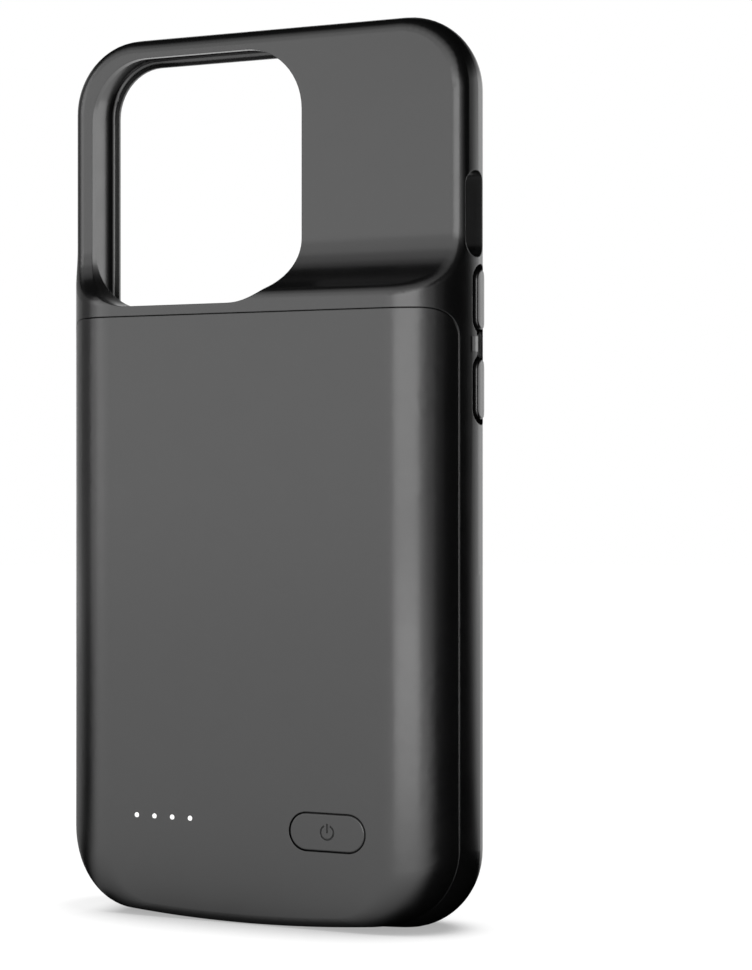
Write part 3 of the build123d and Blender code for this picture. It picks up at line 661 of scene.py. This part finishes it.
def floor_material(studio):
    """White with a painted contact shadow for the camera, bright sides as painted reflection for
    mirrored rays, and matte under the lamps.
    """
    material = bpy.data.materials.new("white_floor")
    material.use_nodes = True
    tree = material.node_tree
    tree.nodes.clear()
    output = tree.nodes.new("ShaderNodeOutputMaterial")
    matte = tree.nodes.new("ShaderNodeBsdfDiffuse")
    glow = tree.nodes.new("ShaderNodeEmission")
    both = tree.nodes.new("ShaderNodeAddShader")
    camera, mirrored = seen_rays(tree)
    point = place(tree)
    # Painted reflection: the floor's matte turns black for mirrored rays, so the case mirrors only
    # the floor's glow
    dull = blend(tree, mirrored, studio.floor_colour, (0.0, 0.0, 0.0))
    seen = product(tree, camera, floor_light(tree, studio, point))
    # Painted reflection: glow that only mirrored rays see, on the floor's bright sides and
    # darkened near the case
    sides = mirrored_sides(tree, studio, point)
    mirrored = product(tree, mirrored, sides, mirrored_fade(tree, studio, point))
    tree.links.new(dull, matte.inputs["Color"])
    tree.links.new(maths(tree, "MAXIMUM", seen, mirrored), glow.inputs["Strength"])
    tree.links.new(matte.outputs[0], both.inputs[0])
    tree.links.new(glow.outputs[0], both.inputs[1])
    tree.links.new(both.outputs[0], output.inputs["Surface"])
    return material


def make_floor(studio):
    """White floor that keeps the shadow where the case meets it."""
    builder = bmesh.new()
    bmesh.ops.create_circle(builder, cap_ends=True, segments=96, radius=studio.floor_radius)
    mesh = bpy.data.meshes.new("floor")
    builder.to_mesh(mesh)
    builder.free()
    floor = bpy.data.objects.new("floor", mesh)
    bpy.context.scene.collection.objects.link(floor)
    mesh.materials.append(floor_material(studio))


def make_world(studio):
    """White background behind the case and a dim room in front of it."""
    world = bpy.data.worlds.new("studio")
    bpy.context.scene.world = world
    world.use_nodes = True
    tree = world.node_tree
    tree.nodes.clear()
    output = tree.nodes.new("ShaderNodeOutputWorld")
    sky = tree.nodes.new("ShaderNodeBackground")
    sky.inputs["Color"].default_value = (1.0, 1.0, 1.0, 1.0)
    direction = tree.nodes.new("ShaderNodeTexCoord").outputs["Generated"]
    behind = towards(tree, direction, WALL_SIDE)
    upward = along(tree, direction, (0.0, 0.0, 1.0))
    low = ranged(tree, upward, 1.0, 0.0, SKY_START, SKY_STOP)
    camera, mirrored = seen_rays(tree)
    dim = maths(tree, "MAXIMUM", product(tree, mirrored, behind, low), studio.room)
    tree.links.new(maths(tree, "MAXIMUM", camera, dim), sky.inputs["Strength"])
    tree.links.new(sky.outputs[0], output.inputs["Surface"])


def make_camera(studio):
    """Level camera at the photo's angle."""
    camera = bpy.data.cameras.new("camera")
    camera.sensor_fit = "HORIZONTAL"
    camera.lens = studio.focal * camera.sensor_width
    camera.shift_y = studio.rise
    camera.clip_start = 0.01
    camera_object = bpy.data.objects.new("camera", camera)
    camera_object.location = (studio.camera_side, -studio.camera_back, studio.camera_height)
    ahead = -front_direction(studio.heading)
    camera_object.rotation_euler = ahead.to_track_quat("-Z", "Y").to_euler()
    bpy.context.scene.collection.objects.link(camera_object)
    bpy.context.scene.camera = camera_object


class CHARGINGCASE_OT_studio(bpy.types.Operator):
    """Make the floor, the background, the lamps and the camera"""

    bl_idname = "charging_case.studio"
    bl_label = "Studio"

    def execute(self, context):
        studio = settings().studio
        context.scene.view_settings.view_transform = "Standard"
        make_world(studio)
        make_floor(studio)
        make_camera(studio)
        make_lamps(studio)
        return {"FINISHED"}


class CHARGINGCASE_PT_panel(bpy.types.Panel):
    """Pieces and settings of the charging case"""

    bl_idname = "CHARGINGCASE_PT_panel"
    bl_label = "Charging Case"
    bl_space_type = "VIEW_3D"
    bl_region_type = "UI"
    bl_category = "Charging Case"

    def draw(self, context):
        for operator in OPERATORS:
            self.layout.operator(operator.bl_idname)
        for group in (settings().shell, settings().light, settings().inside, settings().studio):
            box = self.layout.box()
            for name in group.bl_rna.properties.keys():
                if name not in ("rna_type", "name"):
                    box.prop(group, name)


OPERATORS = (
    CHARGINGCASE_OT_shells,
    CHARGINGCASE_OT_keys,
    CHARGINGCASE_OT_button,
    CHARGINGCASE_OT_lights,
    CHARGINGCASE_OT_cell,
    CHARGINGCASE_OT_board,
    CHARGINGCASE_OT_sockets,
    CHARGINGCASE_OT_studio,
)
GROUPS = (ShellFinish, LightFinish, InsideFinish, StudioSettings, CaseSettings)


def register():
    """Add the classes and the scene's settings."""
    for item in GROUPS + OPERATORS + (CHARGINGCASE_PT_panel,):
        bpy.utils.register_class(item)
    bpy.types.Scene.charging_case = PointerProperty(type=CaseSettings)


def unregister():
    """Take the classes and the scene's settings away."""
    del bpy.types.Scene.charging_case
    for item in reversed(GROUPS + OPERATORS + (CHARGINGCASE_PT_panel,)):
        bpy.utils.unregister_class(item)


def main():
    """Make every piece in order."""
    register()
    bpy.ops.charging_case.shells()
    bpy.ops.charging_case.keys()
    bpy.ops.charging_case.button()
    bpy.ops.charging_case.lights()
    bpy.ops.charging_case.cell()
    bpy.ops.charging_case.board()
    bpy.ops.charging_case.sockets()
    bpy.ops.charging_case.studio()


if __name__ == "__main__":
    main()
